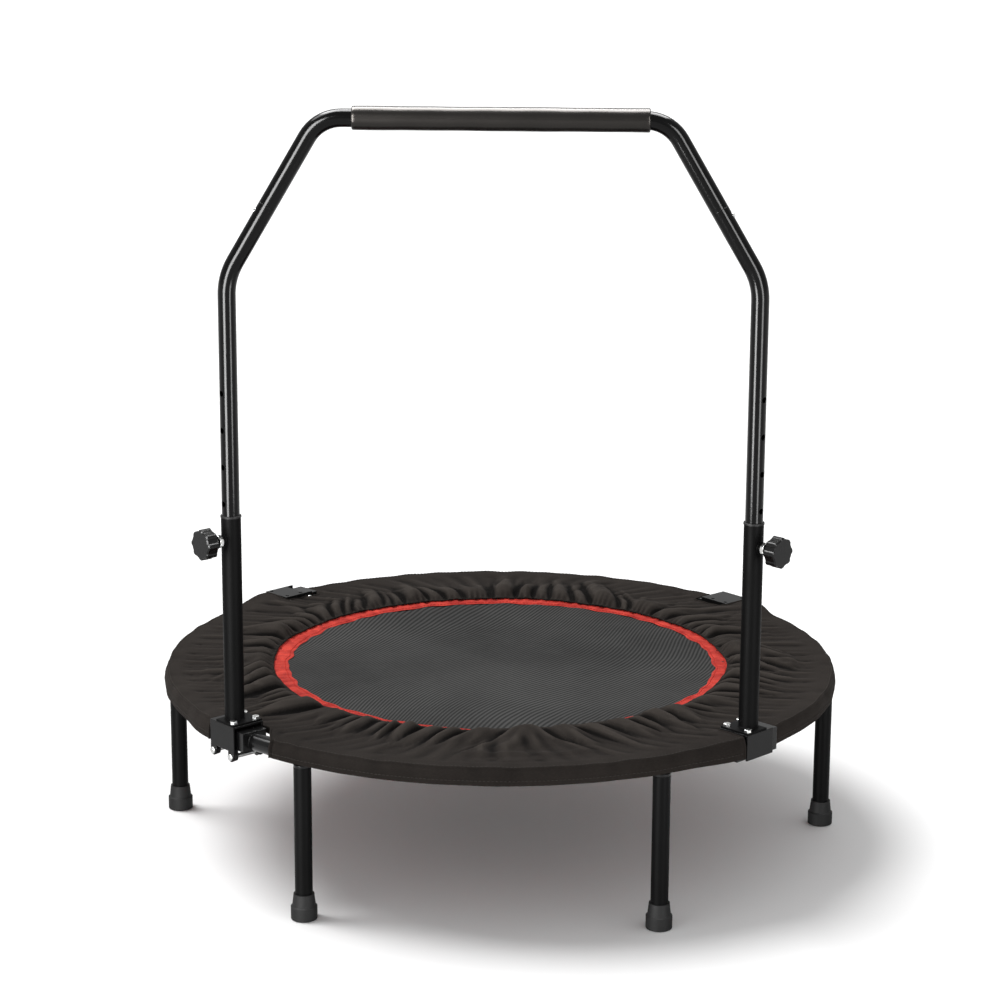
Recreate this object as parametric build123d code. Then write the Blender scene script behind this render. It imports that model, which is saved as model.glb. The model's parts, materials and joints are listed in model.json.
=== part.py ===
"""Mini trampoline, 40 inch, four-section folding ring with a height-adjustable handlebar.

Millimetres, +Z up, origin on the floor under the ring centre, handlebar at -Y.
Angles are in degrees anticlockwise from +X, seen from above.
"""
import math
import os

from build123d import *

os.makedirs("parts", exist_ok=True)

# Ring
SKIRT_R = 508.0            # outside of the skirt: 40 inch overall
RING_R = 492.0             # centre line of the ring tube
RING_TUBE_R = 12.7
RING_WALL = 1.5
RING_Z = 239.0
TUBE_INTO_BOX = 12.0       # how far the bent tube runs into each end box
SPRING_HOLE_R = 2.6
HINGE_ANGLES = {"lf": 223.0, "rf": 317.0, "rb": 43.0, "lb": 137.0}
FOLD_ANGLE = -43.0         # the fold axis lies along this direction

# Hinges
PIN_OFFSET = 21.0          # each pin from the middle of its hinge
PIN_R = 3.25
PIN_TOP_Z = 251.0
PIN_LOW_Z = 216.0
PIN_RUN = 0.05             # running clearance round a pin
PIN_SEAT = 0.03            # clearance in the saddle's own holes
SADDLE_HALF_X = 25.5
SADDLE_HALF_Y = 28.0
SADDLE_TOP_Z = 261.0
SADDLE_LOW_Z = 224.0
SADDLE_PLATE = 2.5
SADDLE_EAR_R = 7.0
SADDLE_TOP_PLATE = 3.0
TOP_PLATE_EDGE = 14.3      # top plate stops here on the side that folds up
END_BOX_HALF_X = 20.0
END_BOX_WALL = 2.5
END_BOX_GAP = 1.0          # from the middle of the hinge to the end of a box
END_BOX_LENGTH = 43.0
END_BOX_LOW_UPPER = 224.5   # underside of a box whose pin is at the top
END_BOX_LOW_LOWER = 227.0   # underside and top of a box whose pin is in ears below it
END_BOX_TOP_LOWER = 254.5
EAR_R = 6.5
PIN_HEAD_R = 5.0
PIN_HEAD_T = 3.1
PIN_HEAD_ROUND = 1.6
BLIND_SEAT = 1.4           # plate left behind a blind pin seat
SPACER_R = 6.2
SPACER_T = 2.4

# Legs and feet
LEG_ANGLES = {
    "right": -1.2, "back_right": 58.8, "back_left": 118.8,
    "left": 178.8, "front_left": 238.8, "front_right": 298.8,
}
LEG_CIRCLE_R = 497.0       # the legs stand a little outboard of the ring tube
LEG_R = 12.5
LEG_WALL = 1.4
LEG_TOP_Z = 224.5
LEG_BOTTOM_Z = 6.5
STUD_R = 10.9
STUD_LENGTH = 26.0
STUD_TOP_Z = 228.5         # the collar stops under the skirt's hem
STUD_CORE_R = 8.0          # narrower above, where it enters the ring tube
FOOT_R = 18.7
FOOT_NECK_R = 15.6
FOOT_BASE_H = 21.0
FOOT_H = 37.5
FOOT_SOLE = 6.0

# Mat, springs and skirt
MAT_R = 352.0
MAT_Z = 246.0
MAT_T = 2.0
BORDER_IN_R = 320.0
BORDER_OUT_R = 358.0
BORDER_T = 1.2
SPRINGS_PER_SECTION = 8
SPRING_MARGIN = 7.5
SPRING_R = 6.0
SPRING_Z = 246.4
WIRE_R = 1.2
HOOK_LIFT = 4.2
HOOK_R = 372.5             # where a spring's inner hook drops into its ring
HOOK_BEND_R = 1.5
RING_T = 3.0
COIL_IN = 386.0
COIL_OUT = 464.0
COIL_TURNS = 20
SKIRT_IN_R = 345.0
SKIRT_IN_Z = 260.5
SKIRT_OUT_Z = 255.0
SKIRT_T = 4.5
SKIRT_LOW_Z = 229.0
SKIRT_HEM_T = 2.4
SKIRT_CLEAR = 0.35         # from the ring tube to the underside of the skirt
NOTCH_R = 459.0
NOTCH_HALF = 46.0
MAT_CUT = 0.3              # each mat half stops this far from the pin line
SKIRT_CUT_FIXED = 10.5     # room for the rising skirt edge when the ring folds
SKIRT_CUT_MOVING = 0.5

# Handlebar
POST_SHIFT = 3.0           # post axis outboard of the ring tube
POST_R = 14.0
POST_WALL = 1.1
POST_TOP_Z = 557.0
FLANGE_T = 3.0
FLANGE_HALF_X = 25.0
FLANGE_Y = (-26.5, 14.0)
FLANGE_BOLTS = [(-19.0, -20.0), (-19.0, 8.0), (19.5, -20.5)]
FLANGE_BOLT_R = 3.0
FLANGE_HEAD_R = 5.4
FLANGE_HEAD_T = 4.0
BUSHING_T = 3.0
BUSHING_LIP = 0.7
HANDLE_R = 12.5
HANDLE_WALL = 1.2
HANDLE_LOW_Z = 485.0
KNEE_Z = 893.0
KNEE_BEND_R = 90.0
HANDLE_TOP_Z = 1109.5
HANDLE_LEAN = 30.5         # lean of the upper legs from upright
TOP_BEND_R = 54.0
SEAM_Z = 991.0
SPIGOT_LENGTH = 40.0
SPIGOT_CLEAR = 0.1
HOLE_R = 4.2
HOLE_PITCH = 52.0
HOLE_COUNT = 5
KNOB_Z = 525.0
KNOB_R = 22.0
KNOB_T = 17.0
KNOB_LOBES = 8
LOBE_R = 5.6
KNOB_NECK_R = 8.0
KNOB_NECK_T = 3.0
KNOB_BORE = 11.0
BOSS_R = 7.5
BOSS_LENGTH = 10.0
BOLT_R = 4.0
BOLT_GAP = 0.3             # bolt tip to handlebar tube
SHANK_LENGTH = 12.0        # bright shank between boss and knob
GRIP_ENDS = (-194.0, 205.0)
GRIP_R = 16.5
BUTTON_R = 3.4
BUTTON_DOWN = 15.0         # below the seam, along the tube
BUTTON_PROUD = 2.2
SPIGOT_WALL = 1.3
PLUG_T = 3.0
PLUG_DEPTH = 12.0

FAR = 2000.0               # further than anything in the model


def save(shape, node):
    export_step(shape, "parts/" + node + ".step")


def group(shapes):
    return Compound(children=list(shapes))


def at_hinge(shape, angle):
    """Place a piece built at the hinge middle: +X outboard, +Y anticlockwise."""
    return Rot(0, 0, angle) * Pos(RING_R, 0, 0) * shape


def at_angle(shape, angle):
    return Rot(0, 0, angle) * shape


def block(x0, x1, y0, y1, z0, z1):
    centre = Pos((x0 + x1) / 2, (y0 + y1) / 2, (z0 + z1) / 2)
    return centre * Box(x1 - x0, y1 - y0, z1 - z0)


def rod_x(radius, x0, x1, y, z):
    """Round bar along X."""
    return Pos((x0 + x1) / 2, y, z) * Rot(0, 90, 0) * Cylinder(radius, x1 - x0)


def rod_z(radius, z0, z1, x=0.0, y=0.0):
    return Pos(x, y, (z0 + z1) / 2) * Cylinder(radius, z1 - z0)


def fixed_side(shape, edge):
    """The part of a shape on the fixed side of a line parallel to the fold axis."""
    return shape & (Rot(0, 0, FOLD_ANGLE) * block(-FAR, FAR, -FAR, edge, -FAR, FAR))


def moving_side(shape, edge):
    return shape & (Rot(0, 0, FOLD_ANGLE) * block(-FAR, FAR, edge, FAR, -FAR, FAR))


def swept_tube(path, radius):
    start = Plane(origin=path @ 0, z_dir=path % 0)
    return sweep(start * Circle(radius), path=path)


# ---------------------------------------------------------------- ring sections

def end_box(side, upper):
    """Rectangular end box of a ring section, on one side (+1 or -1) of a hinge."""
    z0 = END_BOX_LOW_UPPER if upper else END_BOX_LOW_LOWER
    z1 = PIN_TOP_Z + 6.0 if upper else END_BOX_TOP_LOWER
    wall = END_BOX_WALL
    half = END_BOX_HALF_X
    y0 = END_BOX_GAP
    y1 = END_BOX_LENGTH
    box = block(-half, half, y0, y1, z0, z1)
    box -= block(-half + wall, half - wall, y0 - 1, y1 - wall, z0 + wall, z1 - wall)
    pin_z = PIN_TOP_Z
    if not upper:
        pin_z = PIN_LOW_Z
        for x in (-half, half - wall):
            box += block(x, x + wall, PIN_OFFSET - EAR_R, PIN_OFFSET + EAR_R, pin_z, z0 + wall)
            box += rod_x(EAR_R, x, x + wall, PIN_OFFSET, pin_z)
    box -= rod_x(PIN_R + PIN_RUN, -half - 1, half + 1, PIN_OFFSET, pin_z)
    if side < 0:
        box = mirror(box, about=Plane.XZ)
    return box


def spring_angles(start, end):
    first = start + SPRING_MARGIN
    step = (end - start - 2 * SPRING_MARGIN) / (SPRINGS_PER_SECTION - 1)
    return [first + step * i for i in range(SPRINGS_PER_SECTION)]


def ring_section(start, end, upper_at_start, legs):
    """Bent tube between two hinges with its end boxes, spring holes and leg studs."""
    inset = math.degrees(math.asin((END_BOX_LENGTH - TUBE_INTO_BOX) / RING_R))
    sweep_angle = end - start - 2 * inset
    section_plane = Plane.XZ * Pos(RING_R, RING_Z)
    outline = section_plane * Circle(RING_TUBE_R)
    hollow = section_plane * Circle(RING_TUBE_R - RING_WALL)
    bore = at_angle(revolve(hollow, Axis.Z, sweep_angle), start + inset)
    tube = at_angle(revolve(outline - hollow, Axis.Z, sweep_angle), start + inset)
    section = tube + at_hinge(end_box(1, upper_at_start), start)
    section += at_hinge(end_box(-1, not upper_at_start), end)
    for angle in spring_angles(start, end):
        hole = rod_x(SPRING_HOLE_R, RING_R - RING_TUBE_R - 3, RING_R - 3, 0, SPRING_Z)
        section -= at_angle(hole, angle)
    for name in legs:
        stud = rod_z(STUD_R, LEG_TOP_Z - STUD_LENGTH, STUD_TOP_Z, LEG_CIRCLE_R)
        stud += rod_z(LEG_R, LEG_TOP_Z + 0.3, STUD_TOP_Z, LEG_CIRCLE_R)
        stud += rod_z(STUD_CORE_R, STUD_TOP_Z - 1, RING_Z - 4, LEG_CIRCLE_R)
        section += at_angle(stud, LEG_ANGLES[name]) - bore
    return section


SECTIONS = {
    "front": (223.0, 317.0, False, ("front_left", "front_right")),
    "right": (-43.0, 43.0, True, ("right",)),
    "back": (43.0, 137.0, False, ("back_right", "back_left")),
    "left": (137.0, 223.0, True, ("left",)),
}
for name, (start, end, upper_at_start, legs) in SECTIONS.items():
    save(ring_section(start, end, upper_at_start, legs), "ring_section_" + name)


# ---------------------------------------------------------------- hinges

def saddle_upper(side):
    """Bent plate with its pins at the top; its top plate stops short on the folding side."""
    half_x = SADDLE_HALF_X
    half_y = SADDLE_HALF_Y
    body = block(-half_x, half_x, -half_y, half_y, SADDLE_LOW_Z, SADDLE_TOP_Z)
    inner = half_x - SADDLE_PLATE
    roof = SADDLE_TOP_Z - SADDLE_TOP_PLATE
    body -= block(-inner, inner, -half_y - 1, half_y + 1, SADDLE_LOW_Z - 1, roof)
    body -= block(-inner, inner, TOP_PLATE_EDGE, half_y + 1, roof - 1, SADDLE_TOP_Z + 1)
    for y in (-PIN_OFFSET, PIN_OFFSET):
        body -= rod_x(PIN_R + PIN_SEAT, -half_x - 1, half_x - BLIND_SEAT, y, PIN_TOP_Z)
    for x, y in FLANGE_BOLTS:
        body -= rod_z(FLANGE_BOLT_R + 0.1, roof - 1, SADDLE_TOP_Z + 1, x, y)
    if side < 0:
        body = mirror(body, about=Plane.XZ)
    return body


def saddle_lower(flip):
    """Bent plate with its pins in two pairs of ears below the ring tube."""
    half_x = SADDLE_HALF_X
    half_y = SADDLE_HALF_Y
    inner = half_x - SADDLE_PLATE
    roof = SADDLE_TOP_Z - SADDLE_TOP_PLATE
    body = block(-half_x, half_x, -half_y, half_y, SADDLE_LOW_Z, SADDLE_TOP_Z)
    for y in (-PIN_OFFSET, PIN_OFFSET):
        body += block(-half_x, half_x, y - SADDLE_EAR_R, y + SADDLE_EAR_R, PIN_LOW_Z, SADDLE_LOW_Z + 1)
        body += rod_x(SADDLE_EAR_R, -half_x, half_x, y, PIN_LOW_Z)
    body -= block(-inner, inner, -half_y - 1, half_y + 1, PIN_LOW_Z - 20, roof)
    for y in (-PIN_OFFSET, PIN_OFFSET):
        body -= rod_x(PIN_R + PIN_SEAT, -half_x - 1, half_x + 1, y, PIN_LOW_Z)
    for x, y in FLANGE_BOLTS:
        body -= rod_z(FLANGE_BOLT_R + 0.1, roof - 1, SADDLE_TOP_Z + 1, x, y)
    if flip:
        body = mirror(body, about=Plane.XZ)
    return body


def pin_head(side, y, z):
    """Domed head against the inboard (-1) or outboard (+1) face of a saddle."""
    face = SADDLE_HALF_X + 0.1
    head = rod_x(PIN_HEAD_R, face, face + PIN_HEAD_T, y, z)
    head = fillet(head.edges().group_by(Axis.X)[-1], PIN_HEAD_ROUND)
    return head if side > 0 else mirror(head, about=Plane.YZ)


def pin_upper(y):
    """Headed pin with a bright dome at the inboard end and a blind seat outboard."""
    shank = rod_x(PIN_R, -SADDLE_HALF_X - 0.5, SADDLE_HALF_X - BLIND_SEAT - 0.1, y, PIN_TOP_Z)
    return shank + pin_head(-1, y, PIN_TOP_Z)


def pin_lower(y):
    shank = rod_x(PIN_R, -SADDLE_HALF_X - 0.5, SADDLE_HALF_X + 0.5, y, PIN_LOW_Z)
    return shank + pin_head(-1, y, PIN_LOW_Z) + pin_head(1, y, PIN_LOW_Z)


def spacers(z):
    """Spacer washers between the saddle plates and the end boxes."""
    rings = []
    for y in (-PIN_OFFSET, PIN_OFFSET):
        for x in (-SADDLE_HALF_X + SADDLE_PLATE + 0.3, END_BOX_HALF_X + 0.3):
            ring = rod_x(SPACER_R, x, x + SPACER_T, y, z)
            rings.append(ring - rod_x(PIN_R + PIN_RUN, x - 1, x + SPACER_T + 1, y, z))
    return rings


for name, angle in HINGE_ANGLES.items():
    upper = name in ("rf", "lb")
    if upper:
        saddle = saddle_upper(1 if name == "rf" else -1)
        pins = [pin_upper(-PIN_OFFSET), pin_upper(PIN_OFFSET)]
        pin_z = PIN_TOP_Z
    else:
        saddle = saddle_lower(name == "lf")
        pins = [pin_lower(-PIN_OFFSET), pin_lower(PIN_OFFSET)]
        pin_z = PIN_LOW_Z
    save(at_hinge(saddle, angle), "hinge_saddle_" + name)
    save(group(at_hinge(pin, angle) for pin in pins), "hinge_pins_" + name)
    save(group(at_hinge(ring, angle) for ring in spacers(pin_z)), "hinge_spacers_" + name)


# ---------------------------------------------------------------- legs and feet

def leg():
    tube = rod_z(LEG_R, LEG_BOTTOM_Z, LEG_TOP_Z, LEG_CIRCLE_R)
    return tube - rod_z(LEG_R - LEG_WALL, LEG_BOTTOM_Z - 1, LEG_TOP_Z + 1, LEG_CIRCLE_R)


def foot():
    base = rod_z(FOOT_R, 0, FOOT_BASE_H, LEG_CIRCLE_R)
    base = fillet(base.edges().group_by(Axis.Z)[0], 1.5)
    base = chamfer(base.edges().group_by(Axis.Z)[-1], 2.5)
    neck = Pos(LEG_CIRCLE_R, 0, (FOOT_BASE_H + FOOT_H) / 2 - 0.5) * Cone(
        FOOT_NECK_R + 1.0, FOOT_NECK_R - 1.0, FOOT_H - FOOT_BASE_H + 1
    )
    return base + neck - rod_z(LEG_R + 0.1, FOOT_SOLE, FOOT_H + 1, LEG_CIRCLE_R)


for name, angle in LEG_ANGLES.items():
    save(at_angle(leg(), angle), "leg_" + name)
    save(at_angle(foot(), angle), "foot_" + name)


# ---------------------------------------------------------------- mat and springs

mat = rod_z(MAT_R, MAT_Z, MAT_Z + MAT_T)
save(fixed_side(mat, PIN_OFFSET - MAT_CUT), "mat_front")
save(moving_side(mat, PIN_OFFSET + MAT_CUT), "mat_back")

border_z = MAT_Z + MAT_T
border = rod_z(BORDER_OUT_R, border_z, border_z + BORDER_T)
border -= rod_z(BORDER_IN_R, border_z - 1, border_z + BORDER_T + 1)
save(fixed_side(border, PIN_OFFSET - MAT_CUT), "mat_border_front")
save(moving_side(border, PIN_OFFSET + MAT_CUT), "mat_border_back")


def v_ring():
    """Flat triangular ring that hangs a spring on the mat's edge."""
    outer = Polygon((353, -13), (378, -3.4), (378, 3.4), (353, 13), align=None)
    inner = Polygon((356.4, -8.4), (374.6, -1.8), (374.6, 1.8), (356.4, 8.4), align=None)
    return Pos(0, 0, SPRING_Z - RING_T / 2) * extrude(outer - inner, RING_T)


def spring():
    """Close-wound coil with a hook at each end, along +X."""
    pitch = (COIL_OUT - COIL_IN) / COIL_TURNS
    points = [(COIL_IN, SPRING_R - 2 * WIRE_R)]
    for i in range(COIL_TURNS):
        points.append((COIL_IN + pitch * i, SPRING_R - 1.0))
        points.append((COIL_IN + pitch * (i + 0.5), SPRING_R))
    points.append((COIL_OUT, SPRING_R - 1.0))
    points.append((COIL_OUT, SPRING_R - 2 * WIRE_R))
    profile = make_face(Polyline(*points, close=True))
    coil = revolve(Plane.XZ * profile, Axis.X, 360)
    for x in (COIL_IN, COIL_OUT - 2 * WIRE_R):
        coil += block(x, x + 2 * WIRE_R, -WIRE_R, WIRE_R, -SPRING_R + 1.2, SPRING_R - 1.2)
    inner = FilletPolyline(
        (COIL_IN + WIRE_R, 0, 0),
        (COIL_IN - 3, 0, 0),
        (COIL_IN - 6, 0, HOOK_LIFT),
        (HOOK_R, 0, HOOK_LIFT),
        (HOOK_R, 0, -4),
        radius=HOOK_BEND_R,
    )
    outer = FilletPolyline(
        (COIL_OUT - WIRE_R, 0, 0),
        (RING_R - 5, 0, 0),
        (RING_R - 5, 0, -6),
        radius=HOOK_BEND_R,
    )
    return Pos(0, 0, SPRING_Z) * (coil + swept_tube(inner, WIRE_R) + swept_tube(outer, WIRE_R))


one_spring = spring()
one_ring = v_ring()
for half, names in (("front", ("front", "left")), ("back", ("right", "back"))):
    angles = []
    for name in names:
        angles += spring_angles(SECTIONS[name][0], SECTIONS[name][1])
    save(group(at_angle(one_spring, a) for a in angles), "springs_" + half)
    save(group(at_angle(one_ring, a) for a in angles), "mat_rings_" + half)


# ---------------------------------------------------------------- skirt

def skirt_ring():
    """Padded cover over the springs with an upright hem outside the ring tube."""
    under = RING_Z + RING_TUBE_R + SKIRT_CLEAR
    points = [
        (SKIRT_IN_R, SKIRT_IN_Z - 1),
        (SKIRT_IN_R + 3, SKIRT_IN_Z),
        (SKIRT_R - 3, SKIRT_OUT_Z),
        (SKIRT_R, SKIRT_OUT_Z - 2),
        (SKIRT_R, SKIRT_LOW_Z),
        (SKIRT_R - SKIRT_HEM_T, SKIRT_LOW_Z),
        (SKIRT_R - SKIRT_HEM_T, under),
        (RING_R - 12, under),
        (COIL_OUT, SPRING_Z + SPRING_R + 1.0),
        (SKIRT_IN_R, SKIRT_IN_Z - SKIRT_T),
    ]
    profile = make_face(Polyline(*points, close=True))
    return revolve(Plane.XZ * profile, Axis.Z, 360)


skirt = skirt_ring()
for angle in HINGE_ANGLES.values():
    notch = block(NOTCH_R, SKIRT_R + 20, -NOTCH_HALF, NOTCH_HALF, SKIRT_LOW_Z - 5, SKIRT_IN_Z + 5)
    skirt -= at_angle(notch, angle)
save(fixed_side(skirt, PIN_OFFSET - SKIRT_CUT_FIXED), "skirt_front")
save(moving_side(skirt, PIN_OFFSET + SKIRT_CUT_MOVING), "skirt_back")


# ---------------------------------------------------------------- posts and knobs

def post(flip):
    """Lower handlebar post on its bolted flange, with the bolt hole on the outboard side."""
    flange = block(-FLANGE_HALF_X, FLANGE_HALF_X, *FLANGE_Y, SADDLE_TOP_Z, SADDLE_TOP_Z + FLANGE_T)
    body = flange + rod_z(POST_R, SADDLE_TOP_Z, POST_TOP_Z, POST_SHIFT)
    body -= rod_z(POST_R - POST_WALL, SADDLE_TOP_Z + FLANGE_T, POST_TOP_Z + 1, POST_SHIFT)
    body -= rod_x(BOLT_R + 0.1, POST_SHIFT, POST_SHIFT + POST_R + 5, 0, KNOB_Z)
    for x, y in FLANGE_BOLTS:
        body -= rod_z(FLANGE_BOLT_R + 0.1, SADDLE_TOP_Z - 1, SADDLE_TOP_Z + FLANGE_T + 1, x, y)
    if flip:
        body = mirror(body, about=Plane.XZ)
    return body


def flange_bolt(x, y):
    z = SADDLE_TOP_Z + FLANGE_T
    head = Pos(x, y, z) * extrude(RegularPolygon(FLANGE_HEAD_R, 6), FLANGE_HEAD_T)
    head = chamfer(head.edges().group_by(Axis.Z)[-1], 0.6)
    return head + rod_z(FLANGE_BOLT_R, SADDLE_TOP_Z - SADDLE_TOP_PLATE, z + 1, x, y)


def bushing():
    ring = rod_z(POST_R + BUSHING_LIP, POST_TOP_Z, POST_TOP_Z + BUSHING_T, POST_SHIFT)
    ring = fillet(ring.edges().group_by(Axis.Z)[-1], 0.9)
    return ring - rod_z(HANDLE_R + 0.1, POST_TOP_Z - 1, POST_TOP_Z + BUSHING_T + 1, POST_SHIFT)


def boss():
    """Threaded boss on the outboard side of a post."""
    x1 = POST_SHIFT + POST_R + BOSS_LENGTH
    body = rod_x(BOSS_R, POST_SHIFT, x1, 0, KNOB_Z)
    body -= rod_z(POST_R + 0.02, KNOB_Z - 20, KNOB_Z + 20, POST_SHIFT)
    return body - rod_x(BOLT_R + 0.06, POST_SHIFT, x1 + 1, 0, KNOB_Z)


def knob():
    """Lobed hand knob."""
    x0 = POST_SHIFT + POST_R + BOSS_LENGTH + SHANK_LENGTH
    outline = Circle(KNOB_R - 2.2)
    reach = KNOB_R - LOBE_R
    for i in range(KNOB_LOBES):
        turn = math.radians(360.0 / KNOB_LOBES * i)
        outline += Pos(reach * math.cos(turn), reach * math.sin(turn)) * Circle(LOBE_R)
    body = extrude(Plane(origin=(x0, 0, KNOB_Z), x_dir=(0, 1, 0), z_dir=(1, 0, 0)) * outline, KNOB_T)
    body = chamfer(body.edges().group_by(Axis.X)[-1], 1.6)
    body += rod_x(KNOB_NECK_R, x0 - KNOB_NECK_T, x0 + 1, 0, KNOB_Z)
    return body - rod_x(BOLT_R + 0.05, x0 - KNOB_NECK_T - 1, x0 + KNOB_BORE, 0, KNOB_Z)


def knob_bolt():
    x0 = POST_SHIFT + HANDLE_R + BOLT_GAP
    x1 = POST_SHIFT + POST_R + BOSS_LENGTH + SHANK_LENGTH + KNOB_BORE - 0.5
    return chamfer(rod_x(BOLT_R, x0, x1, 0, KNOB_Z).edges().group_by(Axis.X)[0], 0.8)


for side, angle, flip in (("left", HINGE_ANGLES["lf"], True), ("right", HINGE_ANGLES["rf"], False)):
    bolts = []
    for x, y in FLANGE_BOLTS:
        bolts.append(at_hinge(flange_bolt(x, -y if flip else y), angle))
    save(at_hinge(post(flip), angle), "post_" + side)
    save(group(bolts), "post_bolts_" + side)
    save(at_hinge(bushing(), angle), "post_bushing_" + side)
    save(at_hinge(boss(), angle), "knob_boss_" + side)
    save(at_hinge(knob(), angle), "knob_" + side)
    save(at_hinge(knob_bolt(), angle), "knob_bolt_" + side)


# ---------------------------------------------------------------- handlebar

POST_RADIUS = RING_R + POST_SHIFT
HANDLE_X = POST_RADIUS * math.cos(math.radians(HINGE_ANGLES["rf"]))
HANDLE_Y = POST_RADIUS * math.sin(math.radians(HINGE_ANGLES["rf"]))
LEAN = math.tan(math.radians(HANDLE_LEAN))
TOP_X = HANDLE_X - (HANDLE_TOP_Z - KNEE_Z) * LEAN
SEAM_X = HANDLE_X - (SEAM_Z - KNEE_Z) * LEAN
SLOPE = Vector(-math.sin(math.radians(HANDLE_LEAN)), 0, math.cos(math.radians(HANDLE_LEAN)))
ACROSS = Vector(SLOPE.Z, 0, -SLOPE.X)


def on_slope(distance):
    """Point on the right sloped leg's centre line, measured up from the seam."""
    return Vector(SEAM_X, HANDLE_Y, SEAM_Z) + SLOPE * distance


def rod_between(radius, a, b):
    plane = Plane(origin=a, z_dir=b - a)
    return extrude(plane * Circle(radius), (b - a).length)


def button_hole():
    base = on_slope(-BUTTON_DOWN)
    return rod_between(BUTTON_R + 0.2, base, base + ACROSS * 2 * HANDLE_R)


def handle_side():
    """Right side tube: upright with its row of holes, then bent to lean inwards."""
    seam = on_slope(0)
    path = FilletPolyline(
        (HANDLE_X, HANDLE_Y, HANDLE_LOW_Z),
        (HANDLE_X, HANDLE_Y, KNEE_Z),
        (seam.X, seam.Y, seam.Z),
        radius=KNEE_BEND_R,
    )
    tube = swept_tube(path, HANDLE_R) - swept_tube(path, HANDLE_R - HANDLE_WALL)
    for i in range(HOLE_COUNT):
        hole = rod_x(HOLE_R, POST_SHIFT, POST_SHIFT + 20, 0, KNOB_Z + HOLE_PITCH * i)
        tube -= at_hinge(hole, HINGE_ANGLES["rf"])
    return tube - button_hole()


def handle_top():
    """Cross bar with its two bends, and spigots that enter the side tubes."""
    left = Vector(-SEAM_X, HANDLE_Y, SEAM_Z)
    right = on_slope(0)
    path = FilletPolyline(
        (left.X, left.Y, left.Z),
        (-TOP_X, HANDLE_Y, HANDLE_TOP_Z),
        (TOP_X, HANDLE_Y, HANDLE_TOP_Z),
        (right.X, right.Y, right.Z),
        radius=TOP_BEND_R,
    )
    bore = HANDLE_R - HANDLE_WALL
    bar = swept_tube(path, HANDLE_R) - swept_tube(path, bore)
    spigot = rod_between(bore + 0.3, on_slope(6), on_slope(0.01))
    spigot += rod_between(bore - SPIGOT_CLEAR, on_slope(6), on_slope(-SPIGOT_LENGTH))
    spigot -= rod_between(bore - SPIGOT_WALL, on_slope(8), on_slope(-SPIGOT_LENGTH - 2))
    spigot -= button_hole()
    return bar + spigot + mirror(spigot, about=Plane.YZ)


def snap_button():
    base = on_slope(-BUTTON_DOWN)
    bore = HANDLE_R - HANDLE_WALL - SPIGOT_WALL
    stem = rod_between(BUTTON_R, base + ACROSS * (bore - 2), base + ACROSS * (HANDLE_R + BUTTON_PROUD))
    return stem + rod_between(BUTTON_R + 1.4, base + ACROSS * (bore - 2.6), base + ACROSS * (bore - 1.4))


def end_plug():
    bore = HANDLE_R - HANDLE_WALL
    plug = rod_z(HANDLE_R - 0.2, HANDLE_LOW_Z - PLUG_T, HANDLE_LOW_Z - 0.05, HANDLE_X, HANDLE_Y)
    return plug + rod_z(bore - 0.05, HANDLE_LOW_Z - 1, HANDLE_LOW_Z + PLUG_DEPTH, HANDLE_X, HANDLE_Y)


side_tube = handle_side()
button = snap_button()
plug = end_plug()
save(side_tube, "handle_side_right")
save(mirror(side_tube, about=Plane.YZ), "handle_side_left")
save(handle_top(), "handle_top")
save(group([button, mirror(button, about=Plane.YZ)]), "handle_buttons")
save(group([plug, mirror(plug, about=Plane.YZ)]), "handle_plugs")

grip = rod_x(GRIP_R, *GRIP_ENDS, HANDLE_Y, HANDLE_TOP_Z)
grip = fillet(grip.edges(), 2.5)
grip -= rod_x(HANDLE_R + 0.1, GRIP_ENDS[0] - 1, GRIP_ENDS[1] + 1, HANDLE_Y, HANDLE_TOP_Z)
save(grip, "handle_grip")
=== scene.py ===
"""Mini trampoline: gathered spring cover, mat, webbing, springs, foam grip and finishes on the CAD frame.

Metres, in the CAD frame: +Z up, handlebar at -Y. Angles run anticlockwise from +X, seen from above.
"""
import json
import math

import bmesh
import bpy
import numpy as np
from mathutils import Matrix, Vector


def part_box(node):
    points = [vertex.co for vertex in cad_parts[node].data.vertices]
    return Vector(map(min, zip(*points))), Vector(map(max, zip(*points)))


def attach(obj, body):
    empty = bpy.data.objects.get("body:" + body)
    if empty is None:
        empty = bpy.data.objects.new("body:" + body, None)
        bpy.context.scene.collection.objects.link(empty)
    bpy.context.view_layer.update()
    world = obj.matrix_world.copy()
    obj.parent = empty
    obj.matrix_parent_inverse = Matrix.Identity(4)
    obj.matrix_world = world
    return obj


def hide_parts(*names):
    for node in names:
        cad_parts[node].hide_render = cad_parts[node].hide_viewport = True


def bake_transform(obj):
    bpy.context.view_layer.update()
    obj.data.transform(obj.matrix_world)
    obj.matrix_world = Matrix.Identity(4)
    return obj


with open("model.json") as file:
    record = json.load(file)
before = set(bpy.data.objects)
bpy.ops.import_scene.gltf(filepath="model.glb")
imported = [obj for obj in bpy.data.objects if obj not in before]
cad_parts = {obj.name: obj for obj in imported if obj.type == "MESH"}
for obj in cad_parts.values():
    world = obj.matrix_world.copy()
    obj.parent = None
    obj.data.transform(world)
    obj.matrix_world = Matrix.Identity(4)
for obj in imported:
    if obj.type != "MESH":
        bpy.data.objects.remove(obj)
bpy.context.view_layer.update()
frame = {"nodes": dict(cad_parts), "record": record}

rng = np.random.default_rng(7)

# -------- places read from the frame


def middle(node):
    low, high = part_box(node)
    return (low + high) / 2


HINGES = {name: middle("hinge_saddle_" + name) for name in ("lf", "rf", "rb", "lb")}
HINGE_ANGLES = {name: math.atan2(p.y, p.x) % math.tau for name, p in HINGES.items()}
RING_R = HINGES["lf"].to_2d().length

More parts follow.
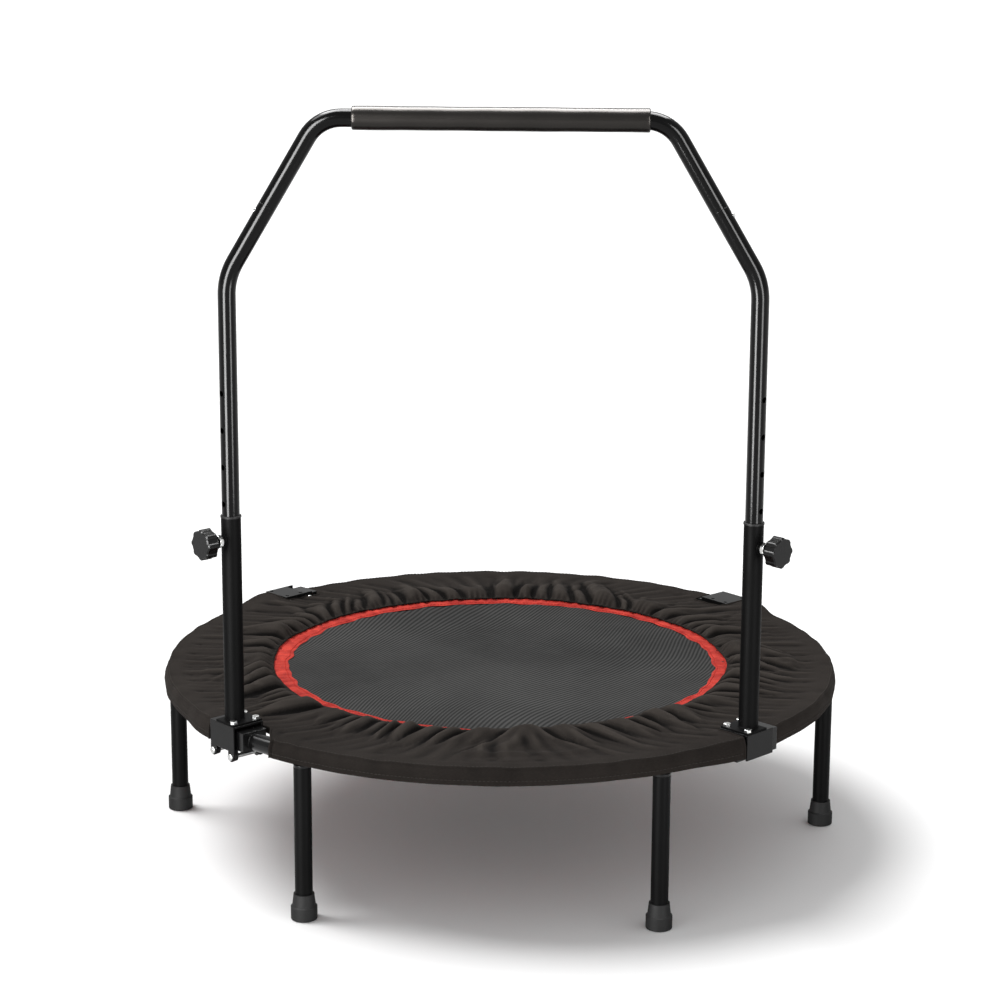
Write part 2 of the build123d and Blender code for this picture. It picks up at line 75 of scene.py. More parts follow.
SKIRT_R = -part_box("skirt_front")[0].x
SKIRT_LOW_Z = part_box("skirt_front")[0].z
MAT_R = -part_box("mat_front")[0].x
MAT_LOW_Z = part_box("mat_front")[0].z
MAT_TOP_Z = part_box("mat_front")[1].z
BORDER_TOP_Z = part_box("mat_border_front")[1].z
SPRING_Z = middle("springs_front").z
SPRING_TOP_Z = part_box("springs_front")[1].z
POSTS = {side: middle("post_bushing_" + side) for side in ("left", "right")}
FLANGE_LOW_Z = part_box("post_left")[0].z
GRIP_LOW, GRIP_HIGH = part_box("handle_grip")

# -------- sizes of the soft parts

SKIRT_IN_R = 0.345         # elastic inner edge
SKIRT_IN_Z = BORDER_TOP_Z + 0.0027
RIM_Z = 0.2546             # top of the cover over the ring tube
RIM_FREE_R = 0.486         # inside this radius the cover hangs free
NOTCH_R = 0.4655           # the cover is cut back to here at each hinge
NOTCHES = {                # how far each cut reaches clockwise and anticlockwise of its hinge
    "lf": (0.031, 0.046),
    "rf": (0.031, 0.0445),
    "rb": (0.031, 0.0445),
    "lb": (0.0445, 0.031),
}
BOX_END = 0.043            # the ring sections' end boxes reach this far from the hinge
BOX_NEAR = 0.046           # within this distance of a hinge an end box holds the cover up fully
BOX_FADE = 0.075           # beyond it the cover sinks back over this distance
BOX_SIDES = 0.060          # the two sides of a hinge change over in this distance
BOX_PUSH = 0.0098          # an end box pushes the rim and the hem out by this much
BOX_LIFT = {"lf": 0.0046, "rf": 0.0046, "rb": 0.0062, "lb": 0.0062}
SLANT = 0.040              # the cut after the left front hinge runs this much further along the hem
SLANT_FADE = 0.130         # the slant dies away over this distance
RIM_IN = 0.004             # the rim's top edge lies this far inside the hem
RIM_BULGE = 0.0035         # the rim reaches further out at the right
FRONT_LIFT = 0.0024        # the elastic edge stands up along the front
FRONT_SPAN = (208, 16, 322, 7)     # degrees: start, fade, end, fade
FRONT_PUFF = 0.0022        # and a little more at the front's right end, where it reaches further in
PUFF_IN = 0.004
PUFF_SPAN = (264, 8, 321, 6)
BORDER_IN_R = 0.3240
BORDER_OUT_R = 0.3565
FLANGE_T = 0.003
POST_R = 0.014
BOSS_END = 0.024           # the knob's boss ends here, from the axis of the post
BOSS_BORE = 0.0042
BOSS_WELD_R = 0.0078
NUT_FLATS = 0.0162
NUT_T = 0.0055
NUT_SET = 0.0049           # sets the nut's near face back from the end of the boss


# -------- mesh helpers

def piece(name, points, faces, material, uv=None, smooth=True):
    """A new mesh object; uv holds one (u, v) for each point."""
    mesh = bpy.data.meshes.new(name)
    mesh.from_pydata([tuple(p) for p in np.asarray(points, float)], [], [tuple(f) for f in faces])
    mesh.update()
    if smooth:
        mesh.polygons.foreach_set("use_smooth", [True] * len(mesh.polygons))
    if uv is not None:
        layer = mesh.uv_layers.new(name="UVMap")
        corners = np.zeros(len(mesh.loops), np.int32)
        mesh.loops.foreach_get("vertex_index", corners)
        layer.data.foreach_set("uv", np.asarray(uv, np.float32)[corners].ravel())
    mesh.materials.append(material)
    obj = bpy.data.objects.new(name, mesh)
    bpy.context.scene.collection.objects.link(obj)
    return obj


def ring_faces(count, sides, closed=False):
    """Faces between rings of points; closed joins the last ring to the first."""
    faces = []
    for i in range(count if closed else count - 1):
        a, b = i * sides, (i + 1) % count * sides
        for k in range(sides):
            m = (k + 1) % sides
            faces.append((a + k, a + m, b + m, b + k))
    return faces


def sheet_faces(row_count, column_count):
    """Faces of a sheet whose points are stored row by row."""
    faces = []
    for j in range(row_count - 1):
        for i in range(column_count - 1):
            a = j * column_count + i
            faces.append((a, a + column_count, a + column_count + 1, a + 1))
    return faces


def tube(path, radius, sides=8, closed=False):
    """Points and faces of a round tube along a path; radius is one number or one per path point."""
    path = np.asarray(path, float)
    count = len(path)
    radius = np.broadcast_to(np.asarray(radius, float), (count,))
    if closed:
        tangent = np.roll(path, -1, 0) - np.roll(path, 1, 0)
    else:
        tangent = np.gradient(path, axis=0)
    tangent /= np.linalg.norm(tangent, axis=1)[:, None]
    start = np.cross(tangent[0], (0.0, 0.0, 1.0))
    if np.linalg.norm(start) < 0.1:
        start = np.cross(tangent[0], (1.0, 0.0, 0.0))
    side = start / np.linalg.norm(start)
    turn = np.arange(sides) * math.tau / sides
    points = []
    for p, t, r in zip(path, tangent, radius):
        side = side - t * (side @ t)
        side /= np.linalg.norm(side)
        up = np.cross(t, side)
        points.append(p + r * (np.outer(np.cos(turn), side) + np.outer(np.sin(turn), up)))
    faces = ring_faces(count, sides, closed)
    if not closed:
        faces.append(tuple(range(sides))[::-1])
        faces.append(tuple(range((count - 1) * sides, count * sides)))
    return np.concatenate(points), faces


def joined(parts):
    """One set of points and faces from several."""
    points, faces, base = [], [], 0
    for part_points, part_faces in parts:
        points.append(part_points)
        faces += [tuple(base + i for i in f) for f in part_faces]
        base += len(part_points)
    return np.concatenate(points), faces


def polar(radius, angle, z):
    return np.stack([radius * np.cos(angle), radius * np.sin(angle), z + 0 * angle], -1)


def ripple(angle, counts, seed_turn):
    """Uneven waves round the ring: a sum of sines with the given whole numbers of waves, about 1 high."""
    total = sum(np.sin(k * angle + seed_turn[i]) for i, k in enumerate(counts))
    return total / math.sqrt(len(counts) / 2)


def smoothstep(x):
    x = np.clip(x, 0.0, 1.0)
    return x * x * (3 - 2 * x)


def span(compass, start, start_fade, end, end_fade):
    """1 between two compass angles in degrees, fading to 0 at both ends."""
    return smoothstep((compass - start) / start_fade) * smoothstep((end - compass) / end_fade)


def bend_over_fold(obj):
    """Bakes the object's transform into its mesh; nothing bends the cloth at the fold line."""
    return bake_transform(obj)


# -------- materials

class Finish:
    """A Principled material with short calls for the texture nodes that feed it."""

    def __init__(self, name, **sockets):
        self.material = bpy.data.materials.new(name)
        self.material.use_nodes = True
        tree = self.material.node_tree
        tree.nodes.clear()
        self.tree = tree
        self.shader = tree.nodes.new("ShaderNodeBsdfPrincipled")
        output = tree.nodes.new("ShaderNodeOutputMaterial")
        tree.links.new(self.shader.outputs[0], output.inputs["Surface"])
        for socket, value in sockets.items():
            self.shader.inputs[socket.replace("_", " ")].default_value = value

    def node(self, kind, inputs=None, **settings):
        made = self.tree.nodes.new("ShaderNode" + kind)
        for key, value in settings.items():
            setattr(made, key, value)
        for key, value in (inputs or {}).items():
            if isinstance(value, bpy.types.NodeSocket):
                self.tree.links.new(value, made.inputs[key])
            else:
                made.inputs[key].default_value = value
        return made

    def place(self, uv=False, turn=0.0, scale=(1, 1, 1)):
        where = self.node("TexCoord").outputs["UV" if uv else "Object"]
        inputs = {"Vector": where, "Rotation": (0, 0, turn), "Scale": scale}
        return self.node("Mapping", inputs).outputs[0]

    def noise(self, where, scale, detail=3.0, roughness=0.5):
        inputs = {"Vector": where, "Scale": scale, "Detail": detail, "Roughness": roughness}
        return self.node("TexNoise", inputs).outputs["Fac"]

    def ribs(self, where, pitch, direction="X", distortion=0.0, wander=1.0):
        """Sine ribs of the given pitch in metres; a small wander bends them in long curves."""
        inputs = {
            "Vector": where, "Scale": math.tau / 20 / pitch, "Distortion": distortion,
            "Detail": 0.0 if wander < 1 else 2.0, "Detail Scale": wander,
        }
        settings = {"wave_type": "BANDS", "bands_direction": direction, "wave_profile": "SIN"}
        return self.node("TexWave", inputs, **settings).outputs["Fac"]

    def math(self, operation, a, b=0.0):
        return self.node("Math", {0: a, 1: b}, operation=operation).outputs[0]

    def spread(self, value, low, high, from_low=0.0, from_high=1.0):
        inputs = {"Value": value, 1: from_low, 2: from_high, 3: low, 4: high}
        return self.node("MapRange", inputs).outputs[0]

    def blend(self, factor, a, b):
        first, second = ((*c, 1) if isinstance(c, tuple) else c for c in (a, b))
        return self.node("Mix", {0: factor, 6: first, 7: second}, data_type="RGBA").outputs[2]

    def bump(self, height, strength, distance, normal=None):
        inputs = {"Height": height, "Strength": strength, "Distance": distance}
        if normal is not None:
            inputs["Normal"] = normal
        return self.node("Bump", inputs).outputs[0]

    def wire(self, socket, value):
        self.tree.links.new(value, self.shader.inputs[socket])


def paint(name, color, rough, peel=0.10, specular=0.4):
    """Sprayed or powder paint: orange peel, patchy gloss, fine dust and a few dull rubs."""
    f = Finish(name, Specular_IOR_Level=specular)
    where = f.place()
    patch = f.noise(where, 14.0, 4.0, 0.6)
    dust = f.noise(where, 900.0, 2.0, 0.7)
    rub = f.spread(f.noise(where, 38.0, 6.0, 0.75), 0.0, 1.0, 0.62, 0.78)
    light = tuple(min(1.0, c * 1.6 + 0.002) for c in color)
    tone = f.blend(f.spread(dust, 0.0, 0.35, 0.5, 0.8), color, light)
    f.wire("Base Color", f.blend(f.math("MULTIPLY", rub, 0.5), tone, light))
    gloss = f.math("ADD", f.spread(patch, rough * 0.8, rough * 1.25), f.math("MULTIPLY", rub, 0.12))
    f.wire("Roughness", gloss)
    eased = f.node("Bevel", {"Radius": 0.0010}, samples=4).outputs[0]
    skin = f.bump(f.noise(where, 420.0, 2.0, 0.5), peel, 0.0004, eased)
    f.wire("Normal", f.bump(f.noise(where, 60.0, 2.0, 0.5), peel * 0.6, 0.0008, skin))
    return f.material


def plated(name, color, rough):
    """Zinc plate: bright, with faint cloudy passivation and fine turning marks."""
    f = Finish(name, Metallic=1.0)
    where = f.place()
    cloud = f.noise(where, 160.0, 4.0, 0.6)
    warm = (color[0], color[1] * 0.95, color[2] * 0.84)
    f.wire("Base Color", f.blend(f.spread(cloud, 0.0, 0.7, 0.35, 0.7), color, warm))
    f.wire("Roughness", f.spread(f.noise(where, 700.0, 3.0, 0.6), rough * 0.7, rough * 1.5))
    f.wire("Normal", f.bump(f.noise(where, 1500.0, 2.0, 0.6), 0.12, 0.0002))
    return f.material


def moulded(name, color, rough, grain, depth):
    """Moulded plastic or rubber with a fine spark-eroded grain and dull handling marks."""
    f = Finish(name, Specular_IOR_Level=0.16)
    where = f.place()
    f.wire("Base Color", f.blend(f.noise(where, 45.0, 5.0, 0.65), color, tuple(c * 1.9 for c in color)))
    f.wire("Roughness", f.spread(f.noise(where, 26.0, 4.0, 0.6), rough * 0.85, min(1.0, rough * 1.2)))
    f.wire("Normal", f.bump(f.noise(where, grain, 3.0, 0.7), depth, 0.0005))
    return f.material


def foam(name):
    """Closed-cell foam: small cells, a dry bloom and slightly darker handled places."""
    f = Finish(name, Roughness=0.27, Specular_IOR_Level=0.26, Specular_Tint=(1.0, 0.93, 0.87, 1.0))
    where = f.place()
    cells = f.node("TexVoronoi", {"Vector": where, "Scale": 620.0}).outputs["Distance"]
    handled = f.noise(where, 24.0, 5.0, 0.6)
    darker, lighter = (0.0040, 0.0038, 0.0036), (0.0072, 0.0067, 0.0063)
    f.wire("Base Color", f.blend(f.spread(handled, 0.0, 1.0, 0.35, 0.65), darker, lighter))
    soft = f.bump(f.noise(where, 130.0, 3.0, 0.6), 0.12, 0.0005)
    f.wire("Normal", f.bump(cells, 0.15, 0.0003, soft))
    return f.material


def cover_cloth(name):
    """Plain-woven polyester: 0.9 mm threads and slubs, with painted shade in the creases and a painted
    highlight on the folds.
    """
    f = Finish(name, Roughness=0.9, Specular_IOR_Level=0.02, Sheen_Weight=0.01, Sheen_Roughness=0.45)
    where = f.place(uv=True)
    warp = f.ribs(where, 0.0009, "X", 0.4)
    weft = f.ribs(where, 0.0009, "Y", 0.4)
    weave = f.math("MULTIPLY", f.math("ADD", warp, weft), 0.5)
    slub = f.noise(f.place(uv=True, scale=(1.0, 6.0, 1.0)), 210.0, 3.0, 0.6)
    cloud = f.noise(where, 9.0, 5.0, 0.6)
    darker, lighter = (0.0165, 0.0136, 0.0120), (0.0250, 0.0210, 0.0185)
    tone = f.blend(f.spread(cloud, 0.0, 1.0, 0.3, 0.7), darker, lighter)
    fleck = f.math("MULTIPLY", f.spread(slub, 0.0, 1.0, 0.45, 0.75), 0.45)
    worn = f.blend(fleck, tone, (0.040, 0.0340, 0.0300))
    fold = f.node("Attribute", attribute_name="fold").outputs["Fac"]
    # painted shade: the cloth darkens where the fold attribute says it lies below its neighbours, in the
    # creases
    shaded = f.blend(f.spread(fold, 0.0, 0.90, 0.0, -0.8), worn, (0.0024, 0.0020, 0.0018))
    # painted highlight: the cloth pales where it stands above its neighbours, on the folds' crests
    crest_painted_highlight = f.blend(f.spread(fold, 0.0, 0.5, 0.15, 0.9), shaded, (0.0560, 0.0480, 0.0420))
    f.wire("Base Color", crest_painted_highlight)
    f.wire("Normal", f.bump(weave, 0.35, 0.0003, f.bump(slub, 0.18, 0.0005)))
    return f.material


def mat_cloth(name):
    """Woven polypropylene: flat tapes in a diagonal twill, with a painted highlight on its ribs that comes
    and goes in bands.
    """
    f = Finish(name, Specular_IOR_Level=0.03)
    where = f.place(uv=True, turn=math.radians(26))
    twill = f.ribs(where, 0.0062, "X", 80.0, 0.05)
    tape = f.math("MULTIPLY", f.ribs(where, 0.0021, "X"), f.ribs(where, 0.0017, "Y"))
    cloud = f.noise(f.place(uv=True), 3.2, 4.0, 0.55)
    worn = f.noise(f.place(uv=True), 26.0, 5.0, 0.6)
    darker, lighter = (0.0105, 0.0105, 0.0105), (0.0150, 0.0150, 0.0148)
    base = f.blend(f.spread(cloud, 0.0, 1.0, 0.35, 0.65), darker, lighter)
    # painted highlight: the twill's raised ribs are paler, more in some bands than in others
    rib = f.math("MULTIPLY", twill, f.spread(cloud, 0.45, 1.0, 0.35, 0.65))
    twill_painted_highlight = f.blend(rib, base, (0.068, 0.068, 0.0665))
    f.wire("Base Color", f.blend(f.spread(worn, 0.0, 0.25, 0.5, 0.8), twill_painted_highlight, (0.042, 0.042, 0.042)))
    f.wire("Roughness", f.spread(worn, 0.56, 0.72))
    f.wire("Normal", f.bump(tape, 0.5, 0.0005, f.bump(twill, 0.35, 0.0007)))
    return f.material


def webbing(name, deep, bright, rib):
    """Ribbed woven tape: unevenly dyed in random darker and brighter patches, with painted shade in the
    grooves between its ribs.
    """
    f = Finish(name, Roughness=0.8, Specular_IOR_Level=0.04, Sheen_Weight=0.02, Sheen_Roughness=0.4)
    where = f.place(uv=True)
    cross = f.ribs(where, rib, "X", 0.6)
    along = f.ribs(where, rib * 1.6, "Y", 0.4)
    dye = f.noise(f.place(uv=True), 34.0, 5.0, 0.65)
    tone = f.blend(f.spread(dye, 0.0, 1.0, 0.35, 0.68), deep, bright)
    # painted shade: the colour darkens in the grooves between the cross ribs
    f.wire("Base Color", f.blend(f.spread(cross, 0.25, 0.0), tone, tuple(c * 0.55 for c in deep)))
    f.wire("Normal", f.bump(f.math("MULTIPLY", cross, along), 0.5, 0.0006, f.bump(dye, 0.25, 0.0012)))
    return f.material


FINISHES = {
    "ring_paint": paint("ring_black", (0.0035, 0.0035, 0.0037), 0.24, specular=0.20),
    "hinge_paint": paint("hinge_black", (0.0020, 0.0020, 0.0021), 0.30, 0.12, 0.14),
    "leg_paint": paint("leg_black", (0.0026, 0.0026, 0.0027), 0.42, 0.16, 0.05),
    "post_paint": paint("post_black", (0.0024, 0.0024, 0.0025), 0.50, 0.18, 0.035),
    "handle_paint": paint("handle_black", (0.0018, 0.0018, 0.0019), 0.14, 0.07, 0.13),
    "zinc": plated("zinc_plate", (0.46, 0.47, 0.48), 0.22),
    "spring_steel": plated("spring_zinc", (0.42, 0.43, 0.44), 0.30),
    "nylon": moulded("nylon_black", (0.006, 0.006, 0.006), 0.50, 900.0, 0.15),
    "knob_plastic": moulded("knob_black", (0.0030, 0.0030, 0.0030), 0.27, 1200.0, 0.12),
    "foot_rubber": moulded("rubber_black", (0.0055, 0.0055, 0.0055), 0.62, 700.0, 0.30),
    "grip_foam": foam("grip_foam_grey"),
    "mat_fabric": mat_cloth("mat_weave"),
    "border_webbing": webbing("red_webbing", (0.30, 0.018, 0.015), (0.68, 0.066, 0.044), 0.0021),
    "skirt_fabric": cover_cloth("cover_polyester"),
}
THREAD = webbing("cover_thread", (0.040, 0.036, 0.032), (0.070, 0.063, 0.056), 0.0008)
RED_THREAD = webbing("red_thread", (0.50, 0.020, 0.015), (0.75, 0.060, 0.040), 0.0008)

for part in frame["record"]["subparts"]:
    node = frame["nodes"][part["node"]]
    node.data.materials.clear()
    node.data.materials.append(FINISHES[part["material_slot"]])


# -------- the gathered cover

FINE = 0.5                 # degrees between the columns of cloth that is simulated
FREE_ROWS = 24             # rows from the elastic edge to the notches
RIM_ROWS = 8
HEM_ROWS = 6
STRIP_R = 0.530            # at rest the cloth is a strip of this radius, longer than the rim
SIM_FRAMES = 28
GRAVITY = 0.01             # share of real weight: under all of it, cloth this soft lies flat
CLOTH = {
    "quality": 5, "mass": 0.12, "air_damping": 1.5, "bending_stiffness": 0.03, "bending_damping": 0.3,
    "tension_stiffness": 8.0, "compression_stiffness": 8.0, "shear_stiffness": 1.5,
    "tension_damping": 6.0, "compression_damping": 6.0, "shear_damping": 4.0,
    "vertex_group_mass": "held", "pin_stiffness": 1.0,
}
SUPPORT_GAP = 0.0014       # the simulation's support lies this far under the springs' tops
SUPPORT_SIDES = 240
RELIEF = 1.35              # settled folds are drawn this much higher than the simulation leaves them
RELIEF_REACH = 14          # columns each side that a fold's height is compared with
SHADE_REACH = 9            # the same for its shading
SHADE_DEPTH = 0.0026       # height at which the shading of a crest or crease is full
EDGE_DRAW = 0.010          # the elastic holds the cloth in line over this distance
PUCKER = 0.0012            # height of the puckers beside the elastic
WRINKLE = 0.0009           # height of the loose wrinkles further out
FOLDS_END = 0.100          # relief and creases fade out from here, along the cloth
HELD_UP = 0.125            # up to here the cover may not sink into what it lies on
MOST_FOLD = 0.0190         # height of the highest fold before the simulation
CREASE_WIDE = 0.0032

FOLD_COUNT = 66
FOLD_RNG = np.random.default_rng(11)
FOLD_SPACING = np.clip(np.exp(FOLD_RNG.normal(0.0, 0.42, FOLD_COUNT)), 0.5, 1.6)
FOLD_SHARE = FOLD_SPACING / FOLD_SPACING.max()
FOLD_EDGES = np.concatenate([[0.0], np.cumsum(FOLD_SPACING)]) / FOLD_SPACING.sum() * math.tau
FOLD_HIGH = FOLD_RNG.uniform(0.45, 1.0, FOLD_COUNT) * FOLD_SHARE ** 0.5 * MOST_FOLD
FOLD_LONG = FOLD_RNG.uniform(0.090, 0.170, FOLD_COUNT) * (0.6 + 0.4 * FOLD_SHARE)
FOLD_LEAN = FOLD_RNG.uniform(-0.7, 0.7, FOLD_COUNT)
CREASE_DEEP = FOLD_RNG.uniform(0.0008, 0.0070, FOLD_COUNT)
CREASE_LONG = FOLD_RNG.uniform(0.040, 0.125, FOLD_COUNT)

SWAY_TURN = rng.uniform(0, math.tau, 3)
HEM_TURN = rng.uniform(0, math.tau, 3)
RIM_TURN = rng.uniform(0, math.tau, 3)
PUCKER_TURN = rng.uniform(0, math.tau, 4)


def cover_angles():
    """Angles of the cloth columns, with a column on each side of every cut; and which gaps are cut."""
    order = sorted(HINGE_ANGLES, key=HINGE_ANGLES.get)
    angles, cut = [], []
    for i, name in enumerate(order):
        before, after = (math.degrees(x / RING_R) for x in NOTCHES[name])
        here = math.degrees(HINGE_ANGLES[name])
        following = order[(i + 1) % len(order)]
        there = math.degrees(HINGE_ANGLES[following]) + (360 if i == len(order) - 1 else 0)
        there -= math.degrees(NOTCHES[following][0] / RING_R)
        for low, high, is_cut in ((here - before, here + after, True), (here + after, there, False)):
            steps = round((high - low) / FINE)
            angles += list(np.linspace(low, high, steps, endpoint=False))
            cut += [is_cut] * steps
    return np.radians(angles), np.array(cut)


def near_hinge(angle):
    """Where the cover lies over an end box, from 0 to 1, and how far it rises there."""
    near = np.zeros_like(angle)
    lift = np.zeros_like(angle)
    for name, hinge in HINGE_ANGLES.items():
        off = ((angle - hinge + math.pi) % math.tau - math.pi) * RING_R
        here = 1 - smoothstep((np.abs(off) - BOX_NEAR) / BOX_FADE)
        over_before, over_after = (float(reach < BOX_END) for reach in NOTCHES[name])
        here = here * (over_before + (over_after - over_before) * smoothstep(off / BOX_SIDES + 0.5))
        near = np.maximum(near, here)
        lift = np.maximum(lift, here * BOX_LIFT[name])
    return near, lift


def cover_profile(angle):
    """Rows of the cover from its elastic edge over the springs and ring and down its hem."""
    free = np.linspace(0, 1, FREE_ROWS)
    near, hinge_lift = near_hinge(angle)
    compass = np.degrees(angle) % 360
    front = span(compass, *FRONT_SPAN)
    puff = span(compass, *PUFF_SPAN)
    sway = 0.0014 * ripple(angle, (5, 8, 13), SWAY_TURN)
    beyond = (angle - HINGE_ANGLES["lf"]) * RING_R - NOTCHES["lf"][1]
    slant = np.where(beyond > -0.001, SLANT / RING_R * (1 - smoothstep(beyond / SLANT_FADE)), 0.0)
    inner = SKIRT_IN_R - sway - PUFF_IN * puff
    lift = FRONT_LIFT * front + FRONT_PUFF * puff + 0.0004 * ripple(angle, (37, 53), SWAY_TURN)
    rows = []
    for share in free:
        radius = inner + (NOTCH_R - inner) * share
        z = SKIRT_IN_Z + (RIM_Z + hinge_lift - SKIRT_IN_Z) * share
        rows.append(polar(radius, angle, z + lift * (1 - share)))
    bulge = RIM_BULGE * np.maximum(0, np.cos(angle)) ** 4
    rim_r = SKIRT_R - RIM_IN + bulge + 0.0004 * ripple(angle, (17, 29, 43), HEM_TURN)
    rim_z = RIM_Z + hinge_lift + 0.0004 * ripple(angle, (31, 47, 67), RIM_TURN)
    for share in np.linspace(0, 1, RIM_ROWS + 1)[1:]:
        radius = NOTCH_R + (rim_r - NOTCH_R) * share
        z = rim_z * share + (RIM_Z + hinge_lift) * (1 - share)
        rows.append(polar(radius + BOX_PUSH * near * share, angle + slant * share, z))
    for share in np.linspace(0, 1, HEM_ROWS):
        turn = min(1.0, share * 2.2)
        radius = rim_r + RIM_IN * math.sin(turn * math.pi / 2) + BOX_PUSH * near
        z = rim_z - 0.0025 - (rim_z - 0.003 - SKIRT_LOW_Z) * share
        rows.append(polar(radius, angle + slant, z))
    return np.array(rows)


def run_lengths(rows):
    """Distance along the cloth to each row, from the elastic edge, averaged round the ring."""
    steps = np.linalg.norm(np.diff(rows, axis=0), axis=2).mean(1)
    return np.concatenate([[0.0], np.cumsum(steps)])


def fold_heights(angle, along):
    """Folds side by side round the ring, round on top and creased between, each of its own size and lean."""
    result = np.zeros((len(along), len(angle)))
    for j, s in enumerate(along):
        k, across = fold_place(angle, s)
        crest = np.sin(math.pi * across) ** 0.6
        rise = 0.24 + 0.76 * smoothstep(s / 0.022)
        fall = 1 - smoothstep((s - 0.020) / (FOLD_LONG[k] - 0.020))
        fall = fall * (1 - (1 - 0.6 * np.maximum(0, np.sin(angle))) * smoothstep((s - 0.100) / 0.020))
        result[j] = FOLD_HIGH[k] * crest * rise * fall
    return result


def fold_place(angle, s):
    """Which fold each angle is in at a distance s from the elastic, and how far across it, from 0 to 1."""
    turned = (angle + s * (1.1 * np.sin(3 * angle + 1.0) + 0.9 * np.sin(8 * angle + 2.0))) % math.tau
    k = np.clip(np.searchsorted(FOLD_EDGES, turned, side="right") - 1, 0, FOLD_COUNT - 1)
    across = (turned - FOLD_EDGES[k]) / (FOLD_EDGES[k + 1] - FOLD_EDGES[k])
    return k, np.clip(across + FOLD_LEAN[k] * s / 0.08 * across * (1 - across), 0, 1)


def crease_depths(angle, along, radius):
    """How deep the cloth is pinched between folds: a sharp line that fades away from the elastic."""
    result = np.zeros((len(along), len(angle)))
    for j, s in enumerate(along):
        k, across = fold_place(angle, s)
        wide = (FOLD_EDGES[k + 1] - FOLD_EDGES[k]) * radius[j]
        off = np.minimum(across, 1 - across) * wide
        line = (k + (across > 0.5)) % FOLD_COUNT
        pinch = np.exp(-off / CREASE_WIDE) * smoothstep(s / 0.006)
        result[j] = CREASE_DEEP[line] * pinch * (1 - smoothstep((s - 0.012) / (CREASE_LONG[line] - 0.012)))
    return result


def simulated_cover(rows, angle, cut):
    """Lets the cloth, at rest one straight strip, gather on its elastic edge and settle."""
    row_count, column_count = rows.shape[:2]
    along = run_lengths(rows)
    start = rows.copy()
    start[:, :, 2] += fold_heights(angle, along)

    grid = np.arange(row_count * column_count).reshape(row_count, column_count)
    faces = []
    for j in range(row_count - 1):
        for i in range(column_count):
            if j >= FREE_ROWS - 1 and cut[i]:
                continue
            m = (i + 1) % column_count
            faces.append((grid[j, i], grid[j, m], grid[j + 1, m], grid[j + 1, i]))
    used = np.unique(np.array(faces))
    place = np.full(grid.size, -1)
    place[used] = np.arange(len(used))
    points = start.reshape(-1, 3)[used]
    cloth = piece("cover_cloth_run", points, place[np.array(faces)], FINISHES["skirt_fabric"])
    cloth.shape_key_add(name="Basis")
    flat = cloth.shape_key_add(name="strip")
    strip = np.array([polar(STRIP_R, angle, RIM_Z + along[-1] - s) for s in along])
    flat.data.foreach_set("co", strip.reshape(-1, 3)[used].astype(np.float32).ravel())
    flat.value = 0.0

    held = cloth.vertex_groups.new(name="held")
    fixed = [int(place[grid[0, i]]) for i in range(column_count)]
    for j in range(row_count):
        if j >= FREE_ROWS and np.linalg.norm(rows[j, 0, :2]) > RIM_FREE_R:
            fixed += [int(v) for v in place[grid[j]] if v >= 0]
    held.add(fixed, 1.0, "REPLACE")

    under = support_under_cover()
    modifier = cloth.modifiers.new("gather", "CLOTH")
    settings = modifier.settings
    for setting, value in CLOTH.items():
        setattr(settings, setting, value)
    settings.effector_weights.gravity = GRAVITY
    settings.rest_shape_key = flat
    modifier.collision_settings.distance_min = 0.0012
    modifier.collision_settings.collision_quality = 2
    for step in range(1, SIM_FRAMES + 1):
        bpy.context.scene.frame_set(step)
    shape = cloth.evaluated_get(bpy.context.evaluated_depsgraph_get()).to_mesh()
    settled = np.zeros(len(used) * 3, np.float32)
    shape.vertices.foreach_get("co", settled)
    out = rows.reshape(-1, 3).copy()
    out[used] = settled.reshape(-1, 3)
    for obj in (cloth, under):
        bpy.data.objects.remove(obj)
    bpy.context.scene.frame_set(1)
    return out.reshape(rows.shape)


def support_under_cover():
    """What the cover lies on: the springs, the mat's edge and the ring tube, as one smooth ring."""
    profile = [(0.330, -0.0022), (0.360, 0.0000), (0.462, 0.0000), (0.492, -0.0004), (0.500, -0.0030)]
    turn = np.linspace(0, math.tau, SUPPORT_SIDES, endpoint=False)
    points = np.concatenate([polar(r, turn, SPRING_TOP_Z - SUPPORT_GAP + dz) for r, dz in profile])
    faces = []
    for j in range(len(profile) - 1):
        a, b = j * SUPPORT_SIDES, (j + 1) * SUPPORT_SIDES
        for i in range(SUPPORT_SIDES):
            m = (i + 1) % SUPPORT_SIDES
            faces.append((a + i, b + i, b + m, a + m))
    under = piece("cover_support_run", points, faces, FINISHES["skirt_fabric"])
    under.modifiers.new("stop", "COLLISION")
    under.collision.thickness_outer = 0.001
    under.collision.cloth_friction = 3.0
    return under


def doubled(rows):
    """The same surface with a new column between every two and a new row between every two."""
    before, after, beyond = np.roll(rows, 1, 1), np.roll(rows, -1, 1), np.roll(rows, -2, 1)
    between = (9 * (rows + after) - before - beyond) / 16
    wide = np.empty((rows.shape[0], rows.shape[1] * 2, 3))
    wide[:, 0::2] = rows
    wide[:, 1::2] = between
    tall = np.empty((wide.shape[0] * 2 - 1, wide.shape[1], 3))
    tall[0::2] = wide
    tall[1::2] = (wide[:-1] + wide[1:]) / 2
    inner = tall[3:-3:2]
    inner[:] = (9 * (wide[1:-2] + wide[2:-1]) - wide[:-3] - wide[3:]) / 16
    return tall


